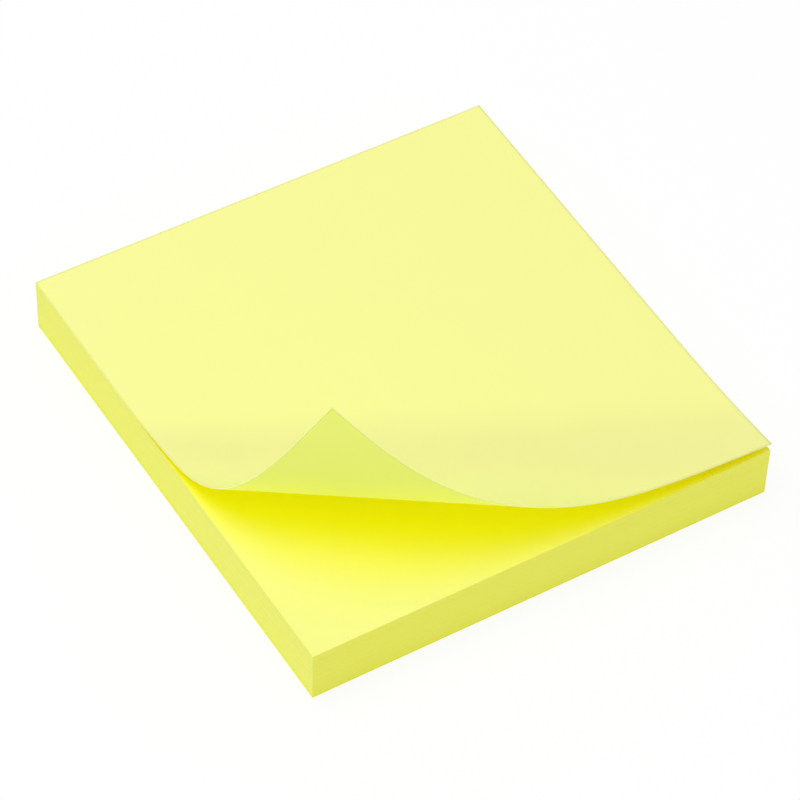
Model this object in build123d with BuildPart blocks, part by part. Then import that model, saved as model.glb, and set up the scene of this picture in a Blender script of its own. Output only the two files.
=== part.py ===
"""Sticky note pad: a block of square notes whose top note curls up and over at one free corner.

+Z is up, +X runs along the glued edge, and +Y points towards that edge. The origin lies on the
face that the pad rests on, below the middle of the whole pad. Sizes are in mm, angles in degrees.
"""

import os
from math import ceil, cos, degrees, radians, sin

from build123d import *

# Driving dimensions of the pad
note_width = 76.0  # along X
note_length = 76.0  # along Y, from the free edge to the glued edge
paper_thickness = 0.1
notes_in_pad = 100  # the top note is one of them
lean_x = -0.8  # how far the top of the pad has slid over its bottom
lean_y = -0.1

# Curl of the top note's corner at -X and -Y. The note bends along straight lines drawn across it
# while it is flat. Each line has a reach, its distance from that corner, and a direction square to
# it, measured from +X.
lift_reach = 52.0  # the line along which the note leaves the block
lift_direction = 70.5  # square to that line
tip_direction = 42.0  # square to the last lines, beside the corner's tip
lift_radius = 95.0  # the note first rises gently
bend_radius = 15.4  # then turns over in a tight bend
bend_start = 16.5  # from the lift line to where the tight bend sets in
bend_end = 45.0  # from the lift line to where it lets go
easing = 8.0  # length over which one radius passes into the next
tip_land = 0.05  # reach of the tip's blunt end

# How finely the curl is worked out
section_spacing = 3.0
lines_per_section = 8

# Derived sizes
pad_height = notes_in_pad * paper_thickness
stack_height = pad_height - paper_thickness


def lean_at(height):
    """Middle of the leaning pad at a height above the face that it rests on."""
    share = height / pad_height - 0.5
    return lean_x * share, lean_y * share


def bend_line(reach):
    """Left and right ends of the bend line at a reach, on the flat note's edges, from its corner."""
    direction = radians(tip_direction + (lift_direction - tip_direction) * reach / lift_reach)
    left = Vector(0, reach / sin(direction))
    right = Vector(reach / cos(direction), 0)
    if left.Y > note_length:
        left = Vector((reach - note_length * sin(direction)) / cos(direction), note_length)
    if right.X > note_width:
        right = Vector(note_width, (reach - note_width * cos(direction)) / sin(direction))
    return left, right


def side_corner_reach():
    """Reach of the bend line that runs into the note's other free corner, at +X, by bisection."""
    low, high = 0.0, lift_reach
    while high - low > 1e-6:
        middle = (low + high) / 2
        left, right = bend_line(middle)
        low, high = (low, middle) if right.Y > 0 else (middle, high)
    return high


def eased(distance):
    """Smooth step from 0 to 1 along the easing length."""
    share = min(max(distance / easing, 0), 1)
    return share * share * (3 - 2 * share)


def curvature(distance):
    """How sharply the note bends at a distance past its lift line, as 1 / radius."""
    tight_share = eased(distance - bend_start) - eased(distance - bend_end)
    return eased(distance) / lift_radius + tight_share * (1 / bend_radius - 1 / lift_radius)


def curl_places(place, far, near):
    """Places and reaches of the curl's sections from a far reach to a near one.

    A place is where the narrow strip of the note beside that line has gone. Each next strip is the
    last one turned about the bend line between the two.
    """
    line_count = ceil((far - near) / section_spacing) * lines_per_section
    step = (far - near) / line_count
    for line in range(line_count + 1):
        reach = far - line * step
        if line % lines_per_section == 0:
            yield place, reach
        left, right = bend_line(reach)
        turn = degrees(curvature(lift_reach - reach + step / 2) * step)
        place = place * Location(left, left - right, turn) * Location(-left)


def section_plane(place, reach):
    """Plane that stands on a bend line square to the note: X along the line, Y out of the note's face."""
    left, right = bend_line(reach)
    along = right - left
    flat_plane = Plane(origin=(left + right) / 2, x_dir=along, z_dir=along.cross(Vector(0, 0, 1)))
    return Plane(place * flat_plane.location)


# The block of notes under the top one, held together along its glued edge
with BuildPart() as sheet_stack:
    for height in (0, stack_height):
        with BuildSketch(Plane.XY.offset(height)):
            with Locations(lean_at(height)):
                Rectangle(note_width, note_length)
    loft()

# The top note: flat as far as the lift line, then curled in two stretches that part at the line
# through its other free corner, so that this corner stays sharp
middle_x, middle_y = lean_at(pad_height)
note_corner = Location((middle_x - note_width / 2, middle_y - note_length / 2, pad_height))

with BuildPart() as top_sheet:
    with BuildSketch(Plane.XY.offset(stack_height)):
        with Locations((middle_x, middle_y)):
            Rectangle(note_width, note_length)
    extrude(amount=paper_thickness)
    split(bisect_by=section_plane(note_corner, lift_reach), keep=Keep.BOTTOM)
    strip_place = note_corner
    for far, near in ((lift_reach, side_corner_reach()), (side_corner_reach(), tip_land)):
        for strip_place, reach in curl_places(strip_place, far, near):
            left, right = bend_line(reach)
            with BuildSketch(section_plane(strip_place, reach)):
                Rectangle((right - left).length, paper_thickness, align=(Align.CENTER, Align.MAX))
        loft()

sheet_stack.part.label = "sheet_stack"
top_sheet.part.label = "top_sheet"
os.makedirs("parts", exist_ok=True)
export_step(sheet_stack.part, "parts/sheet_stack.step")
export_step(top_sheet.part, "parts/top_sheet.step")
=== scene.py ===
"""Sticky note pad: a block of pale yellow notes whose top note curls up and over at one free corner.

The pieces lie in the CAD part's frame, in metres: +Z up, +Y towards the glued edge, and the origin
on the face that the pad rests on. The curled corner is at -X and -Y.
"""

from math import cos, radians, sin

import bpy
import numpy as np
from mathutils import Matrix, Quaternion, Vector


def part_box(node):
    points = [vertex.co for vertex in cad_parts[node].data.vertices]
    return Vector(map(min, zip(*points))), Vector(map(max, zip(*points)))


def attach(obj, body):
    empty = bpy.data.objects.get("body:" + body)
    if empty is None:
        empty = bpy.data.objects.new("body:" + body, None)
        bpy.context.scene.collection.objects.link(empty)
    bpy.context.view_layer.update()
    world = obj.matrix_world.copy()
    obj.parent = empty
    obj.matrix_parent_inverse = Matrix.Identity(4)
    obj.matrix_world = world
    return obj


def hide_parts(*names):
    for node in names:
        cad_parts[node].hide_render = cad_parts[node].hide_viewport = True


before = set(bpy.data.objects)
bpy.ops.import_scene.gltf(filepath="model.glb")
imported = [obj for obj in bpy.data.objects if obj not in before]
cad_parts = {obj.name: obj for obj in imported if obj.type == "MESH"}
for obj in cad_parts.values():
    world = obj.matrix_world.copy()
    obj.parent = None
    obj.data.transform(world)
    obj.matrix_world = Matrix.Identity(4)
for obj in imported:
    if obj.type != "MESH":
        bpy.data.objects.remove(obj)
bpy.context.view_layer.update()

# The pad, as the CAD part has it
NOTE_WIDTH = 0.076
NOTE_LENGTH = 0.076
PAPER = 0.0001
STACK_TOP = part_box("sheet_stack")[1][2]
PAD_TOP = STACK_TOP + PAPER
SHEETS_IN_STACK = round(STACK_TOP / PAPER)
LEAN = Vector((-0.0008, -0.0001))

# The curl of the top note, as the CAD part has it. A reach is the distance of a straight bend line
# from the curled corner, on the flat note, and a direction is square to that line, from +X.
LIFT_REACH = 0.052
LIFT_DIRECTION = radians(70.5)
TIP_DIRECTION = radians(42.0)
LIFT_RADIUS = 0.095
BEND_RADIUS = 0.0154
BEND_START = 0.0165
BEND_END = 0.045
EASING = 0.008

# How finely the top note is modelled
BEND_LINES = 520
NOTE_CELLS = 190

# The stack's sheets: the groove between two, and how far each lies from the one below. A sheet's
# drift keeps part of the last sheet's drift, and each sheet has a shift of its own as well.
SHEET_GAP = 0.000006
DRIFT_KEPT = 0.86
DRIFT_SPREAD = 0.000005
SHIFT_SPREAD = 0.000005

# Where the stack's faces go on its map for the export's colour bake, which is 1 by 1: the top and
# the bottom in squares side by side, and the four sides in strips above them
MAP_SQUARE = 0.48
MAP_MARGIN = 0.01
MAP_STRIP = 0.11

# Colours as they look on the object, 0 to 255
PAPER_YELLOW = (247, 248, 152)
# Painted shade: the stack's top is a little deeper than the top note's paper, for the shade by the curl
SHADED_STACK_YELLOW = (246, 247, 143)
SIDE_EDGE_YELLOW = (247, 250, 121)
# Painted shade: the front and back cut edges are a deeper yellow than the left and right ones, for the
# front face that the lamps light less
SHADED_FRONT_EDGE_YELLOW = (246, 247, 102)
# Painted shade: the cut edges turn to this deeper yellow beside the table
TABLE_SHADE_EDGE_YELLOW = (250, 252, 78)
# Painted light: the top note's cut edge is paler than its face, so that its thin rim in shade reads pale
LIT_NOTE_EDGE_YELLOW = (253, 255, 176)
# Painted shade: the deep yellow of paper where other paper closes in on it
SHUT_IN_SHADE_YELLOW = (255, 247, 0)
RAISED_PAPER = (251, 255, 233)
# Painted shade: the raised back is a darker, greener copy of the raised face's colour, for the curl's
# underside
SHADED_RAISED_BACK = (222, 250, 188)
LIGHT_THROUGH_PAPER = (255, 254, 0)
FLOOR_WHITE = (250, 250, 250)

# The paper's surface. Sizes, depths and heights are in metres. Tones are the darkest and the palest
# of a colour, as shares of it, and roughness runs from the first value to the second.
CLOUD_SIZE = 0.006
FIBRE_SIZE = 0.00022
EDGE_FIBRE_SIZE = 0.00025
FACE_TONES = (0.97, 1.0)
EDGE_TONES = (0.95, 1.0)
FACE_ROUGHNESS = (0.72, 0.9)
EDGE_ROUGHNESS = 0.85
FACE_SHINE = 0.25
EDGE_SHINE = 0.2
FACE_BUMP_DEPTH = 0.00001
FACE_BUMP_STRENGTH = 0.35
EDGE_BUMP_DEPTH = 0.00002
EDGE_BUMP_STRENGTH = 0.25
SHEET_TONE_SHARE = 0.6
# How high the painted shade beside the table reaches up the cut edges
TABLE_SHADE_HEIGHT = 0.0012

# How the paper takes light. Openness runs from 0 to 1, as the ambient occlusion node gives it: at
# the first value paper still has its plain colour, and at the second its shut-in colour, which is
# painted shade for light bounced between sheets. The share of light that passes the raised note
# grows between two distances past the lift line.
OPEN_PAPER = 0.77
SHUT_IN_PAPER = 0.4
SHUT_IN_DISTANCE = 0.03
THROUGH_SHARE = 0.62
THROUGH_START = 0.009
THROUGH_FULL = 0.031

# The camera
CAMERA_TARGET = Vector((-0.00127, -0.00207, 0.005))
CAMERA_DISTANCE = 0.62835
CAMERA_HEADING = radians(38.109)
CAMERA_ELEVATION = radians(49.457)
CAMERA_ROLL = radians(7.62)
CAMERA_LENS = 198.2
CAMERA_SENSOR = 36.0
CAMERA_NEAREST = 0.01

# The studio: two round lamps above the pad's glued and left sides, soft light all round, and a
# table top. Powers are in watts. The shadow's share is how much of it shows.
LAMPS = (("back_light", (-0.13, 0.15, 0.67), 0.96), ("front_light", (-0.22, -0.07, 0.64), 0.93))
LAMP_SIZE = 0.5
WORLD_STRENGTH = 0.68
FLOOR_SIZE = 4.0
SHADOW_SHARE = 0.15

# Light goes from sheet to sheet many times under the curl
DIFFUSE_BOUNCES = 12
PASSING_BOUNCES = 16
ALL_BOUNCES = 20


def linear(colour):
    """A colour given 0 to 255 as it looks, as Blender's linear values with an alpha of 1."""
    shares = [c / 255 for c in colour]
    return tuple(((s + 0.055) / 1.055) ** 2.4 if s > 0.04045 else s / 12.92 for s in shares) + (1.0,)


def smoothly(share):
    """A share from 0 to 1 that starts and ends gently."""
    share = np.clip(share, 0, 1)
    return share * share * (3 - 2 * share)


def lean_at(height):
    """Middle of the leaning pad at a height."""
    return LEAN * (height / PAD_TOP - 0.5)


# --- Camera, lights and floor ---


def add_camera():
    heading, elevation = CAMERA_HEADING, CAMERA_ELEVATION
    forward = Vector((sin(heading) * cos(elevation), cos(heading) * cos(elevation), -sin(elevation)))
    data = bpy.data.cameras.new("camera")
    data.lens = CAMERA_LENS
    data.sensor_width = CAMERA_SENSOR
    data.clip_start = CAMERA_NEAREST
    camera = bpy.data.objects.new("camera", data)
    camera.location = CAMERA_TARGET - forward * CAMERA_DISTANCE
    camera.rotation_mode = "QUATERNION"
    camera.rotation_quaternion = forward.to_track_quat("-Z", "Y") @ Quaternion((0, 0, 1), CAMERA_ROLL)
    bpy.context.scene.collection.objects.link(camera)
    bpy.context.scene.camera = camera


def add_lamp(name, location, power):
    """A round soft lamp that faces the origin."""
    data = bpy.data.lights.new(name, "AREA")
    data.shape = "DISK"
    data.size = LAMP_SIZE
    data.energy = power
    light = bpy.data.objects.new(name, data)
    light.location = location
    light.rotation_euler = (-Vector(location)).to_track_quat("-Z", "Y").to_euler()
    bpy.context.scene.collection.objects.link(light)


def seen_directly(tree):
    """A value that is 1 where the camera, a mirror or clear glass sees the surface, else 0."""
    path = tree.nodes.new("ShaderNodeLightPath")
    seen = path.outputs["Is Camera Ray"]
    for ray in ("Is Glossy Ray", "Is Transmission Ray"):
        either = tree.nodes.new("ShaderNodeMath")
        either.operation = "MAXIMUM"
        tree.links.new(seen, either.inputs[0])
        tree.links.new(path.outputs[ray], either.inputs[1])
        seen = either.outputs[0]
    return seen


def light_world():
    """A white studio all round: plain soft light, and a pure white background where it is seen."""
    world = bpy.data.worlds.new("studio")
    bpy.context.scene.world = world
    world.use_nodes = True
    tree = world.node_tree
    tree.nodes.clear()
    output = tree.nodes.new("ShaderNodeOutputWorld")
    mix = tree.nodes.new("ShaderNodeMixShader")
    lighting = tree.nodes.new("ShaderNodeBackground")
    lighting.inputs["Color"].default_value = (1, 1, 1, 1)
    lighting.inputs["Strength"].default_value = WORLD_STRENGTH
    backdrop = tree.nodes.new("ShaderNodeBackground")
    backdrop.inputs["Color"].default_value = (1, 1, 1, 1)
    backdrop.inputs["Strength"].default_value = 1.0
    tree.links.new(seen_directly(tree), mix.inputs["Fac"])
    tree.links.new(lighting.outputs[0], mix.inputs[1])
    tree.links.new(backdrop.outputs[0], mix.inputs[2])
    tree.links.new(mix.outputs[0], output.inputs["Surface"])


def add_floor():
    """A white table top. Where it is seen, part of it is plain white, so that its shadow stays faint."""
    mesh = bpy.data.meshes.new("floor")
    half = FLOOR_SIZE / 2
    corners = [(-half, -half, 0), (half, -half, 0), (half, half, 0), (-half, half, 0)]
    mesh.from_pydata(corners, [], [(0, 1, 2, 3)])
    floor = bpy.data.objects.new("floor", mesh)
    bpy.context.scene.collection.objects.link(floor)
    material = bpy.data.materials.new("floor_white")
    material.use_nodes = True
    tree = material.node_tree
    tree.nodes.clear()
    output = tree.nodes.new("ShaderNodeOutputMaterial")
    paint = tree.nodes.new("ShaderNodeBsdfDiffuse")
    paint.inputs["Color"].default_value = linear(FLOOR_WHITE)
    glow = tree.nodes.new("ShaderNodeEmission")
    glow.inputs["Strength"].default_value = 1.0
    share = tree.nodes.new("ShaderNodeMath")
    share.operation = "MULTIPLY"
    share.inputs[1].default_value = 1 - SHADOW_SHARE
    mix = tree.nodes.new("ShaderNodeMixShader")
    tree.links.new(seen_directly(tree), share.inputs[0])
    tree.links.new(share.outputs[0], mix.inputs["Fac"])
    tree.links.new(paint.outputs[0], mix.inputs[1])
    tree.links.new(glow.outputs[0], mix.inputs[2])
    tree.links.new(mix.outputs[0], output.inputs["Surface"])
    mesh.materials.append(material)


# --- Paper materials ---


class Paper:
    """A paper material under construction: a Principled shader with grain, tone and bump from nodes."""

    def __init__(self, name, coordinates):
        self.material = bpy.data.materials.new(name)
        self.material.use_nodes = True
        self.tree = self.material.node_tree
        self.shader = self.tree.nodes["Principled BSDF"]
        source = self.tree.nodes.new("ShaderNodeUVMap" if coordinates == "UV" else "ShaderNodeTexCoord")
        if coordinates == "UV":
            source.uv_map = "flat_note"
        self.coordinates = source.outputs[coordinates]

    def link(self, output, socket):
        self.tree.links.new(output, socket)

    def attribute(self, name):
        node = self.tree.nodes.new("ShaderNodeAttribute")
        node.attribute_name = name
        return node.outputs["Fac"]

    def noise(self, size, stretch=(1, 1, 1), detail=3.0, roughness=0.6):
        """Noise of about that grain size in the material's coordinates, stretched along the axes."""
        mapping = self.tree.nodes.new("ShaderNodeMapping")
        mapping.inputs["Scale"].default_value = [1 / (size * s) for s in stretch]
        texture = self.tree.nodes.new("ShaderNodeTexNoise")
        texture.inputs["Scale"].default_value = 1.0
        texture.inputs["Detail"].default_value = detail
        texture.inputs["Roughness"].default_value = roughness
        self.link(self.coordinates, mapping.inputs["Vector"])
        self.link(mapping.outputs[0], texture.inputs["Vector"])
        return texture.outputs["Fac"]

    def ranged(self, value, low, high, start=0.0, end=1.0):
        """A value that runs from start to end, spread over the range from low to high."""
        node = self.tree.nodes.new("ShaderNodeMapRange")
        node.inputs["From Min"].default_value = start
        node.inputs["From Max"].default_value = end
        node.inputs["To Min"].default_value = low
        node.inputs["To Max"].default_value = high
        self.link(value, node.inputs["Value"])
        return node.outputs[0]

    def math(self, operation, first, second):
        node = self.tree.nodes.new("ShaderNodeMath")
        node.operation = operation
        self.link(first, node.inputs[0])
        self.link(second, node.inputs[1])
        return node.outputs[0]

    def tinted(self, factor, colour_a, colour_b):
        """A colour between two, which are tuples or sockets: the first where factor is 0, the
        second where it is 1."""
        node = self.tree.nodes.new("ShaderNodeMix")
        node.data_type = "RGBA"
        self.link(factor, node.inputs["Factor"])
        for socket, colour in zip(node.inputs[6:8], (colour_a, colour_b)):
            if isinstance(colour, tuple):
                socket.default_value = colour
            else:
                self.link(colour, socket)
        return node.outputs[2]

    def bump(self, height, depth, strength):
        node = self.tree.nodes.new("ShaderNodeBump")
        node.inputs["Distance"].default_value = depth
        node.inputs["Strength"].default_value = strength
        self.link(height, node.inputs["Height"])
        self.link(node.outputs[0], self.shader.inputs["Normal"])


def grained(paper, grain, colour, tones):
    """A colour given 0 to 255 that varies between two tones with the grain."""
    dark, light = [tuple(c * tone for c in linear(colour)[:3]) + (1.0,) for tone in tones]
    return paper.tinted(grain, dark, light)


def paper_grain(paper, unit):
    """Cloudy formation and short fibres, as a value from about 0 to 1, with the fibres alone. The
    unit is the length in metres that 1 stands for in the material's coordinates."""
    cloud = paper.noise(CLOUD_SIZE / unit, detail=2.0)
    fibre = paper.noise(FIBRE_SIZE / unit, stretch=(1.0, 2.2, 1.0), detail=4.0, roughness=0.7)
    return paper.math("ADD", paper.ranged(cloud, -0.2, 0.2), paper.ranged(fibre, 0.1, 0.9)), fibre


def painted_bounce_shade(paper, colour):
    """Painted shade: the paper's colour, deeper where other paper closes in on it, as the ambient
    occlusion node finds it. It stands in for light that has bounced from sheet to sheet, where each
    bounce takes more of its blue."""
    openness = paper.tree.nodes.new("ShaderNodeAmbientOcclusion")
    openness.inputs["Distance"].default_value = SHUT_IN_DISTANCE
    closed = paper.ranged(openness.outputs["AO"], 0.0, 1.0, OPEN_PAPER, SHUT_IN_PAPER)
    return paper.tinted(closed, colour, linear(SHUT_IN_SHADE_YELLOW))


def finish_face(paper, fibre):
    """The dull surface of a note's face, with its fibres raised."""
    paper.link(paper.ranged(fibre, *FACE_ROUGHNESS), paper.shader.inputs["Roughness"])
    paper.shader.inputs["Specular IOR Level"].default_value = FACE_SHINE
    paper.bump(fibre, FACE_BUMP_DEPTH, FACE_BUMP_STRENGTH)


def stack_face_paper():
    """The face of a note in the stack: uncoated dyed paper, its yellow a little deeper than the top
    note's as painted shade.
    """
    paper = Paper("stack_face_paper", "Object")
    grain, fibre = paper_grain(paper, 1.0)
    colour = grained(paper, grain, SHADED_STACK_YELLOW, FACE_TONES)
    paper.link(painted_bounce_shade(paper, colour), paper.shader.inputs["Base Color"])
    finish_face(paper, fibre)
    return paper.material


def note_paper(name, raised_colour, is_face):
    """The top note. Where it is raised off the stack, light shines through it: part of what falls
    on it goes on as a deeper yellow, and what it reflects is paler to match. On its face the colour
    also takes the painted bounce shade."""
    paper = Paper(name, "UV")
    grain, fibre = paper_grain(paper, NOTE_WIDTH)
    colour = paper.tinted(paper.attribute("paler"), grained(paper, grain, PAPER_YELLOW, FACE_TONES),
                          grained(paper, grain, raised_colour, FACE_TONES))
    if is_face:
        colour = painted_bounce_shade(paper, colour)
    paper.link(colour, paper.shader.inputs["Base Color"])
    finish_face(paper, fibre)
    through = paper.tree.nodes.new("ShaderNodeBsdfTranslucent")
    through.inputs["Color"].default_value = linear(LIGHT_THROUGH_PAPER)
    shaders = paper.tree.nodes.new("ShaderNodeMixShader")
    paper.link(paper.attribute("through"), shaders.inputs["Fac"])
    paper.link(paper.shader.outputs[0], shaders.inputs[1])
    paper.link(through.outputs[0], shaders.inputs[2])
    paper.link(shaders.outputs[0], paper.tree.nodes["Material Output"].inputs["Surface"])
    return paper.material


def edge_paper(name, colour):
    """Cut edges: on the stack deeper in colour than its faces, because light sinks in between the
    sheets, and deepest beside the table, where that is painted shade. Each sheet has a tone of its own."""
    paper = Paper(name, "Object")
    fibre = paper.noise(EDGE_FIBRE_SIZE, stretch=(1.5, 1.5, 0.3), detail=3.0)
    sheet_tone = paper.ranged(paper.attribute("sheet_tone"), 0.0, SHEET_TONE_SHARE)
    grain = paper.math("ADD", sheet_tone, paper.ranged(fibre, 0.0, 1 - SHEET_TONE_SHARE))
    place = paper.tree.nodes.new("ShaderNodeSeparateXYZ")
    paper.link(paper.coordinates, place.inputs[0])
    # Painted shade: the cut edges turn to a deeper yellow towards the table
    table_shade_share = paper.ranged(place.outputs["Z"], 1.0, 0.0, 0.0, TABLE_SHADE_HEIGHT)
    colours = [grained(paper, grain, c, EDGE_TONES) for c in (colour, TABLE_SHADE_EDGE_YELLOW)]
    paper.link(paper.tinted(table_shade_share, *colours), paper.shader.inputs["Base Color"])
    paper.shader.inputs["Roughness"].default_value = EDGE_ROUGHNESS
    paper.shader.inputs["Specular IOR Level"].default_value = EDGE_SHINE
    paper.bump(fibre, EDGE_BUMP_DEPTH, EDGE_BUMP_STRENGTH)
    return paper.material


# --- The stack of notes ---


def add_piece(name, mesh, record_slot, *nodes):
    piece = bpy.data.objects.new(name, mesh)
    bpy.context.scene.collection.objects.link(piece)
    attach(piece, "root")
    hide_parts(*nodes)
    return piece


def stack_outlines():
    """Corners of the four-sided outlines up the stack, two for each sheet, and each sheet's tone.
    The sheets wander a little as they rise, as in a pad that has been handled, and none lies
    exactly on the one below."""
    draw = np.random.default_rng(7)
    corners, tones = [], []
    drift = np.zeros(2)
    for sheet in range(SHEETS_IN_STACK):
        drift = DRIFT_KEPT * drift + draw.normal(0, DRIFT_SPREAD, 2)
        shift = drift + draw.normal(0, SHIFT_SPREAD, 2)
        low = sheet * PAPER
        for height in (low, low + PAPER - SHEET_GAP):
            middle = lean_at(height)
            for side_x, side_y in ((-1, -1), (1, -1), (1, 1), (-1, 1)):
                x = middle.x + shift[0] + side_x * NOTE_WIDTH / 2
                y = middle.y + shift[1] + side_y * NOTE_LENGTH / 2
                corners.append((x, y, height))
        tones.append(draw.random())
    return corners, tones


def build_stack():
    """The sheets under the top note as one closed skin: the bottom and the top face, and round the
    sides four cut edges for each sheet with a narrow ledge up to the next."""
    corners, tones = stack_outlines()
    outlines = len(corners) // 4
    top = len(corners) - 4
    faces = [(3, 2, 1, 0), (top, top + 1, top + 2, top + 3)]
    slots = [0, 0]
    face_tones = [tones[0], tones[-1]]
    square = [(0.0, 0.0), (MAP_SQUARE, 0.0), (MAP_SQUARE, MAP_SQUARE), (0.0, MAP_SQUARE)]
    places = [(x + MAP_SQUARE + MAP_MARGIN, y) for x, y in square] + square
    strips = [MAP_SQUARE + MAP_MARGIN + side * (MAP_STRIP + MAP_MARGIN) for side in range(4)]
    for outline in range(outlines - 1):
        heights = [corners[4 * o][2] / STACK_TOP for o in (outline, outline + 1)]
        for side, strip in enumerate(strips):
            here, there = 4 * outline + side, 4 * outline + (side + 1) % 4
            faces.append((here, there, there + 4, here + 4))
            slots.append(1 + side % 2)
            face_tones.append(tones[outline // 2])
            low, high = [strip + MAP_STRIP * height for height in heights]
            places += [(0.0, low), (MAP_SQUARE, low), (MAP_SQUARE, high), (0.0, high)]

    mesh = bpy.data.meshes.new("note_stack")
    mesh.from_pydata(corners, [], faces)
    mesh.polygons.foreach_set("material_index", slots)
    mesh.attributes.new("sheet_tone", "FLOAT", "FACE").data.foreach_set("value", face_tones)
    mesh.uv_layers.new(name="OFBake").data.foreach_set("uv", np.ravel(places))
    mesh.materials.append(stack_face_paper())
    # The front and back edges take a deeper yellow than the left and right ones: painted shade
    mesh.materials.append(edge_paper("front_edge_shaded_paper", SHADED_FRONT_EDGE_YELLOW))
    mesh.materials.append(edge_paper("side_edge_paper", SIDE_EDGE_YELLOW))
    mesh.validate()
    return add_piece("note_stack", mesh, "stack_paper", "sheet_stack")


# --- The curled top note ---


def curvature(distance):
    """How sharply the note bends at a distance past its lift line, as 1 / radius."""
    lift, start, end = [smoothly((distance - line) / EASING) for line in (0, BEND_START, BEND_END)]
    return lift / LIFT_RADIUS + (start - end) * (1 / BEND_RADIUS - 1 / LIFT_RADIUS)


def curl():
    """Reaches and directions of the bend lines from the lift line to the tip, and where the strip
    of the note beyond each number of lines has gone."""
    reaches = np.linspace(LIFT_REACH, 0, BEND_LINES + 1)
    directions = TIP_DIRECTION + (LIFT_DIRECTION - TIP_DIRECTION) * reaches / LIFT_REACH
    step = LIFT_REACH / BEND_LINES
    place = Matrix.Identity(4)
    places = [place]
    for reach, direction in zip(reaches, directions):
        foot = Matrix.Translation((reach * cos(direction), reach * sin(direction), 0))
        turn = curvature(LIFT_REACH - reach + step / 2) * step
        along = Vector((-sin(direction), cos(direction), 0))
        place = place @ foot @ Matrix.Rotation(turn, 4, along) @ foot.inverted()
        places.append(place)
    return reaches, directions, np.array([np.array(p) for p in places])


def add_flat_map(mesh, name, u, v):
    """A map that gives each corner of a face its point's place on the flat note, from 0 to 1."""
    point_of_corner = np.zeros(len(mesh.loops), int)
    mesh.loops.foreach_get("vertex_index", point_of_corner)
    which = point_of_corner % len(u)
    places = np.stack([u[which] / NOTE_WIDTH, v[which] / NOTE_LENGTH], axis=1)
    mesh.uv_layers.new(name=name).data.foreach_set("uv", places.ravel())


def build_note():
    """The note as a thin closed sheet over a square grid of its flat face, carried to where the
    curl takes each point. The points of its face come first, then those of its back."""
    reaches, directions, places = curl()
    across = np.linspace(0, NOTE_WIDTH, NOTE_CELLS + 1)
    along = np.linspace(0, NOTE_LENGTH, NOTE_CELLS + 1)
    u, v = [grid.ravel() for grid in np.meshgrid(across, along)]
    lines_passed = np.zeros(len(u), int)
    for reach, direction in zip(reaches, directions):
        lines_passed += u * cos(direction) + v * sin(direction) < reach
    here = places[lines_passed]
    flat = np.stack([u, v, np.zeros_like(u), np.ones_like(u)], axis=1)
    corner = lean_at(PAD_TOP) - Vector((NOTE_WIDTH, NOTE_LENGTH)) / 2
    face = np.einsum("nij,nj->ni", here, flat)[:, :3] + (corner.x, corner.y, PAD_TOP)
    back = face - here[:, :3, 2] * PAPER

    row = NOTE_CELLS + 1
    count = row * row
    grid = np.arange(count).reshape(row, row)
    cells = np.stack([grid[:-1, :-1], grid[:-1, 1:], grid[1:, 1:], grid[1:, :-1]], axis=-1)
    cells = cells.reshape(-1, 4)
    outline = np.concatenate([grid[0, :-1], grid[:-1, -1], grid[-1, :0:-1], grid[:0:-1, 0]])
    ahead = np.roll(outline, -1)
    rim = np.stack([outline, outline + count, ahead + count, ahead], axis=1)
    faces = np.concatenate([cells, cells[:, ::-1] + count, rim])
    slots = np.repeat([0, 1, 2], [len(cells), len(cells), len(rim)])

    mesh = bpy.data.meshes.new("top_note")
    mesh.from_pydata(np.concatenate([face, back]).tolist(), [], faces.tolist())
    mesh.polygons.foreach_set("use_smooth", slots != 2)
    mesh.polygons.foreach_set("material_index", slots)
    add_flat_map(mesh, "flat_note", u, v)
    past_lift = lines_passed * LIFT_REACH / BEND_LINES
    raised = smoothly((past_lift - THROUGH_START) / (THROUGH_FULL - THROUGH_START))
    through = THROUGH_SHARE * raised
    paler = raised * (1 - THROUGH_SHARE) / (1 - through)
    for name, values in (("through", through), ("paler", paler)):
        mesh.attributes.new(name, "FLOAT", "POINT").data.foreach_set("value", np.tile(values, 2))
    mesh.materials.append(note_paper("note_face_paper", RAISED_PAPER, True))
    # The back's raised colour is darker and greener than the face's: painted shade on the curl's
    # underside
    mesh.materials.append(note_paper("note_back_paper", SHADED_RAISED_BACK, False))
    # The note's rim takes a paler yellow than its face: painted light
    mesh.materials.append(edge_paper("note_edge_lit_paper", LIT_NOTE_EDGE_YELLOW))
    mesh.validate()
    return add_piece("top_note", mesh, "top_note_paper", "top_sheet")


add_camera()
light_world()
for lamp in LAMPS:
    add_lamp(*lamp)
add_floor()

stack = build_stack()
note = build_note()

scene = bpy.context.scene
scene.view_settings.view_transform = "Standard"
scene.cycles.diffuse_bounces = DIFFUSE_BOUNCES
scene.cycles.transmission_bounces = PASSING_BOUNCES
scene.cycles.max_bounces = ALL_BOUNCES
